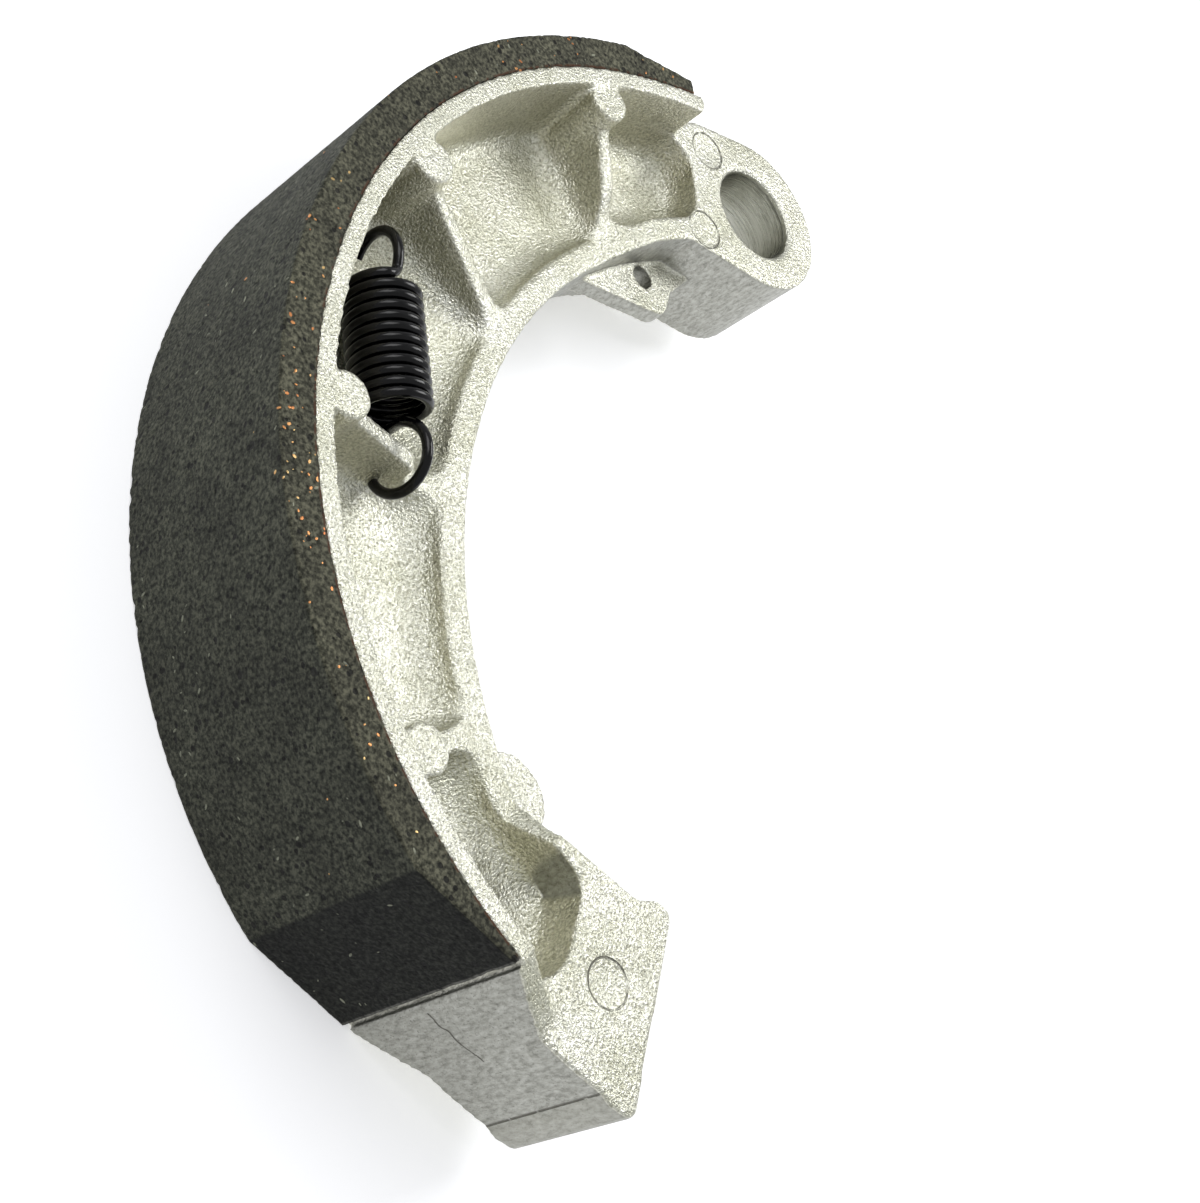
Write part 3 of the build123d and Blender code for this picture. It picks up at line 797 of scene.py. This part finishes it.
# bits in the lining: sizes in millimetres, densities for each square millimetre of the side and of the ground face
brassTurnings = {"length": 0.36, "width": 0.24, "height": 0.07, "sideDensity": 0.2, "faceDensity": 0.004,
                 "crowding": 4.0, "seed": 4}
mineralFibres = {"length": 0.5, "width": 0.2, "height": 0.05, "sideDensity": 0.05, "faceDensity": 0.05,
                 "crowding": 0.0, "seed": 11}
# patches for each millimetre, and where on the front side the turnings crowd and how wide the crowd is
bitLayout = {"patchScale": 0.07, "crowdPlace": (-76.5, 48.0, 12.3), "crowdReach": 11.0}


# Brass and copper turnings: small warm glints.
def makeBrass():
    material, tree = startMaterial("brassTurnings")
    place = millimetres(tree)
    colour = addRamp(tree, addNoise(tree, place, 2.2, 1.0), [(0.35, "#B8744A"), (0.5, "#CE9560"), (0.65, "#CDB07A")])
    roughness = addRamp(tree, addNoise(tree, place, 0.2), [(0.3, 0.3), (0.7, 0.5)])
    finishMaterial(tree, {"Metallic": 1.0}, {"Base Color": colour, "Roughness": roughness})
    return material


# Chopped mineral fibre in small bundles: dusty pale grey-green.
def makePaleFibre():
    material, tree = startMaterial("choppedMineralFibre")
    place = millimetres(tree)
    colour = addRamp(tree, addNoise(tree, place, 0.8), [(0.3, "#5E6053"), (0.7, "#9A9C88")])
    roughness = addRamp(tree, addNoise(tree, place, 0.2), [(0.3, 0.7), (0.7, 0.9)])
    finishMaterial(tree, {}, {"Base Color": colour, "Roughness": roughness})
    return material


# scatters flat bits over the lining, in patches, more on its front side than on its ground face
def makeBitTree(name, material):
    tree, given = startTree(name, {
        "Side Density": "NodeSocketFloat", "Face Density": "NodeSocketFloat", "Size": "NodeSocketVector",
        "Side Height": "NodeSocketFloat", "Patch Scale": "NodeSocketFloat", "Crowd Place": "NodeSocketVector",
        "Crowd Reach": "NodeSocketFloat", "Crowding": "NodeSocketFloat", "Seed": "NodeSocketInt"})
    place = addNode(tree, "GeometryNodeInputPosition").outputs[0]
    height = addNode(tree, "ShaderNodeSeparateXYZ", links={"Vector": place}).outputs["Z"]
    onSide = reckon(tree, "GREATER_THAN", height, given["Side Height"])
    patches = addNode(tree, "ShaderNodeTexNoise", values={"Detail": 1.0},
                      links={"Vector": place, "Scale": given["Patch Scale"]}).outputs[0]
    rich = fade(tree, patches, 0.42, 0.62)
    away = addNode(tree, "ShaderNodeVectorMath", {"operation": "DISTANCE"},
                   links={0: place, 1: given["Crowd Place"]}).outputs["Value"]
    crowd = reckon(tree, "SUBTRACT", 1.0, reckon(tree, "DIVIDE", away, given["Crowd Reach"]))
    crowd = reckon(tree, "MULTIPLY", reckon(tree, "MAXIMUM", crowd, 0.0), given["Crowding"])
    density = addNode(tree, "ShaderNodeMix", {"data_type": "FLOAT"},
                      links={0: onSide, 2: given["Face Density"], 3: given["Side Density"]}).outputs[0]
    density = reckon(tree, "MULTIPLY", density, reckon(tree, "ADD", rich, crowd, 0.08))
    points = addNode(tree, "GeometryNodeDistributePointsOnFaces",
                     links={"Mesh": given["Geometry"], "Density": density, "Seed": given["Seed"]})
    grain = addNode(tree, "GeometryNodeMeshIcoSphere", values={"Radius": 0.5, "Subdivisions": 1}).outputs["Mesh"]
    draws = []
    for low, high in ((0.4, 1.6), (0.0, 2 * math.pi)):  # size, then turn
        draw = addNode(tree, "FunctionNodeRandomValue", {"data_type": "FLOAT"}, links={"Seed": given["Seed"]})
        draw.inputs[2].default_value = low
        draw.inputs[3].default_value = high
        draws.append(draw.outputs[1])
    scale = addNode(tree, "ShaderNodeVectorMath", {"operation": "SCALE"},
                    links={0: given["Size"], "Scale": draws[0]}).outputs[0]
    twist = addNode(tree, "ShaderNodeCombineXYZ", links={"Z": draws[1]}).outputs["Vector"]
    spin = addNode(tree, "FunctionNodeEulerToRotation", links={0: twist}).outputs[0]
    turned = addNode(tree, "FunctionNodeRotateRotation", {"rotation_space": "LOCAL"},
                     links={0: points.outputs["Rotation"], 1: spin}).outputs[0]
    bits = addNode(tree, "GeometryNodeInstanceOnPoints",
                   links={"Points": points.outputs["Points"], "Instance": grain, "Rotation": turned,
                          "Scale": scale}).outputs["Instances"]
    finishTree(tree, bits, material)
    return tree


def scatterBits(source, settings, material, name):
    bed = addPiece(source.data.copy(), name + "Bed")
    piece = runTree(bed, makeBitTree(name + "Tree", material), {
        "Side Density": settings["sideDensity"] / mm**2,
        "Face Density": settings["faceDensity"] / mm**2,
        "Size": [settings[key] * mm for key in ("length", "width", "height")],
        "Side Height": (liningBlock["width"] / 2 - 0.2) * mm,
        "Patch Scale": bitLayout["patchScale"] / mm,
        "Crowd Place": [value * mm for value in bitLayout["crowdPlace"]],
        "Crowd Reach": bitLayout["crowdReach"] * mm,
        "Crowding": settings["crowding"],
        "Seed": settings["seed"],
    }, name)
    writePlaces(piece.data, readPlaces(piece.data), "friction_lining")
    print(name + ":", len(piece.data.polygons), "faces")
    return piece


brassPiece = scatterBits(liningPiece, brassTurnings, makeBrass(), "brassTurnings")
fibrePiece = scatterBits(liningPiece, mineralFibres, makePaleFibre(), "mineralFibres")

# lengths in millimetres, angles in degrees
returnSpring = {
    "wire": 1.1,
    "coil": 8.2,
    "length": 13.357,
    "turns": 11.44,
    "hand": -1,  # 1 winds it the other way
    "firstAngle": 32.0,
    "heading": 203.5,
    "farEnd": (-61.458, 37.30, 5.8),
    "pointsPerTurn": 32,
    "profilePoints": 14,
    "startHook": {"reach": 3.0, "rise": -0.3, "tilt": 1.0, "angles": (-116, 50)},
    "endHook": {"reach": 4.65, "rise": 0.2, "tilt": 13.0, "angles": (-150, 66)},
    "bendStretch": 1.15,
}


# Spring steel with a black oxide finish: near black, oiled, with a thin satin highlight on each turn.
def makeBlackWire():
    material, tree = startMaterial("blackOxideSpringSteel")
    film = addNoise(tree, millimetres(tree), 0.5, 3.0)
    colour = addRamp(tree, film, [(0.3, "#020203"), (0.7, "#080809")])
    roughness = addRamp(tree, film, [(0.3, 0.13), (0.7, 0.22)])
    bump = addBump(tree, film, 0.03, 0.3)
    finishMaterial(tree, {"Specular IOR Level": 0.3}, {"Base Color": colour, "Roughness": roughness, "Normal": bump})
    return material


# centre line of one hook, part of a circle as large as the coils, and the direction in which it starts
def hookPoints(end, out, across, hook):
    mean = (returnSpring["coil"] - returnSpring["wire"]) / 2
    centre = end + out * hook["reach"] + Vector((0, 0, hook["rise"]))
    tilt = math.radians(hook["tilt"])
    down = across * math.sin(tilt) - Vector((0, 0, math.cos(tilt)))
    first, last = (math.radians(a) for a in hook["angles"])
    steps = round((last - first) / (2 * math.pi) * returnSpring["pointsPerTurn"])
    points = []
    for step in range(steps + 1):
        angle = first + (last - first) * step / steps
        points.append(centre + out * (mean * math.cos(angle)) + down * (mean * math.sin(angle)))
    return points, out * -math.sin(first) + down * math.cos(first)


# smooth bend between a hook and the coils
def bendPoints(start, startWay, end, endWay):
    reach = (end - start).length * returnSpring["bendStretch"]
    points = []
    for step in (tenth / 10 for tenth in range(1, 10)):
        nearStart = 2 * step**3 - 3 * step**2 + 1
        leaving = (step**3 - 2 * step**2 + step) * reach
        nearEnd = 3 * step**2 - 2 * step**3
        arriving = (step**3 - step**2) * reach
        points.append(start * nearStart + startWay * leaving + end * nearEnd + endWay * arriving)
    return points


# centre line of the whole wire, hook to hook, in millimetres
def springLine():
    heading = math.radians(returnSpring["heading"])
    along = Vector((math.cos(heading), math.sin(heading), 0))
    across = Vector((math.sin(heading), -math.cos(heading), 0))
    mean = (returnSpring["coil"] - returnSpring["wire"]) / 2
    farEnd = Vector(returnSpring["farEnd"])
    origin = farEnd - along * returnSpring["length"]
    hand = returnSpring["hand"]
    turns = returnSpring["turns"]
    first = math.radians(returnSpring["firstAngle"])

    def coil(share):
        angle = first + 2 * math.pi * turns * share
        radial = Vector((0, 0, math.cos(angle))) - across * (hand * math.sin(angle))
        return origin + along * (returnSpring["length"] * share) + radial * mean

    def coilWay(share):
        angle = first + 2 * math.pi * turns * share
        return (Vector((0, 0, -math.sin(angle))) - across * (hand * math.cos(angle))).normalized()

    steps = round(turns * returnSpring["pointsPerTurn"])
    coils = [coil(step / steps) for step in range(steps + 1)]
    startHook, startWay = hookPoints(origin, -along, across, returnSpring["startHook"])
    endHook, endWay = hookPoints(farEnd, along, across, returnSpring["endHook"])
    leadIn = bendPoints(startHook[0], -startWay, coils[0], coilWay(0))
    leadOut = bendPoints(coils[-1], coilWay(1), endHook[0], endWay)
    return startHook[::-1] + leadIn + coils + leadOut + endHook


# round wire swept along its centre line
def makeSpring(material):
    tree, given = startTree("woundWire", {"Wire Radius": "NodeSocketFloat", "Profile Points": "NodeSocketInt"})
    circle = addNode(tree, "GeometryNodeCurvePrimitiveCircle",
                     links={"Radius": given["Wire Radius"], "Resolution": given["Profile Points"]}).outputs["Curve"]
    wire = addNode(tree, "GeometryNodeCurveToMesh", values={"Fill Caps": True},
                   links={"Curve": given["Geometry"], "Profile Curve": circle}).outputs["Mesh"]
    smooth = addNode(tree, "GeometryNodeSetShadeSmooth", links={"Geometry": wire}).outputs["Geometry"]
    finishTree(tree, smooth, material)
    curve = bpy.data.curves.new("springLine", "CURVE")
    curve.dimensions = "3D"
    line = curve.splines.new("POLY")
    points = springLine()
    line.points.add(len(points) - 1)
    for point, place in zip(line.points, points):
        point.co = (*(place * mm), 1)
    values = {"Wire Radius": returnSpring["wire"] / 2 * mm, "Profile Points": returnSpring["profilePoints"]}
    piece = runTree(addPiece(curve, "springLine"), tree, values, "springWire")
    print("spring:", len(piece.data.polygons), "faces")
    return piece


blackWire = makeBlackWire()
setMaterial(frame["nodes"]["return_spring"], blackWire)
springPiece = makeSpring(blackWire)

# which slot and CAD node each piece belongs to; all ride on the one body
for piece, slot, node in ((castBody, "cast_aluminium", "shoe_casting"),
                          (liningPiece, "lining_compound", "friction_lining"),
                          (springPiece, "black_spring_wire", "return_spring"),
                          (brassPiece, "lining_compound", None),
                          (fibrePiece, "lining_compound", None)):
    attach(piece, "root")
    if node:
        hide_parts(node)
print("pieces ready")

bpy.context.scene.view_settings.view_transform = "Standard"
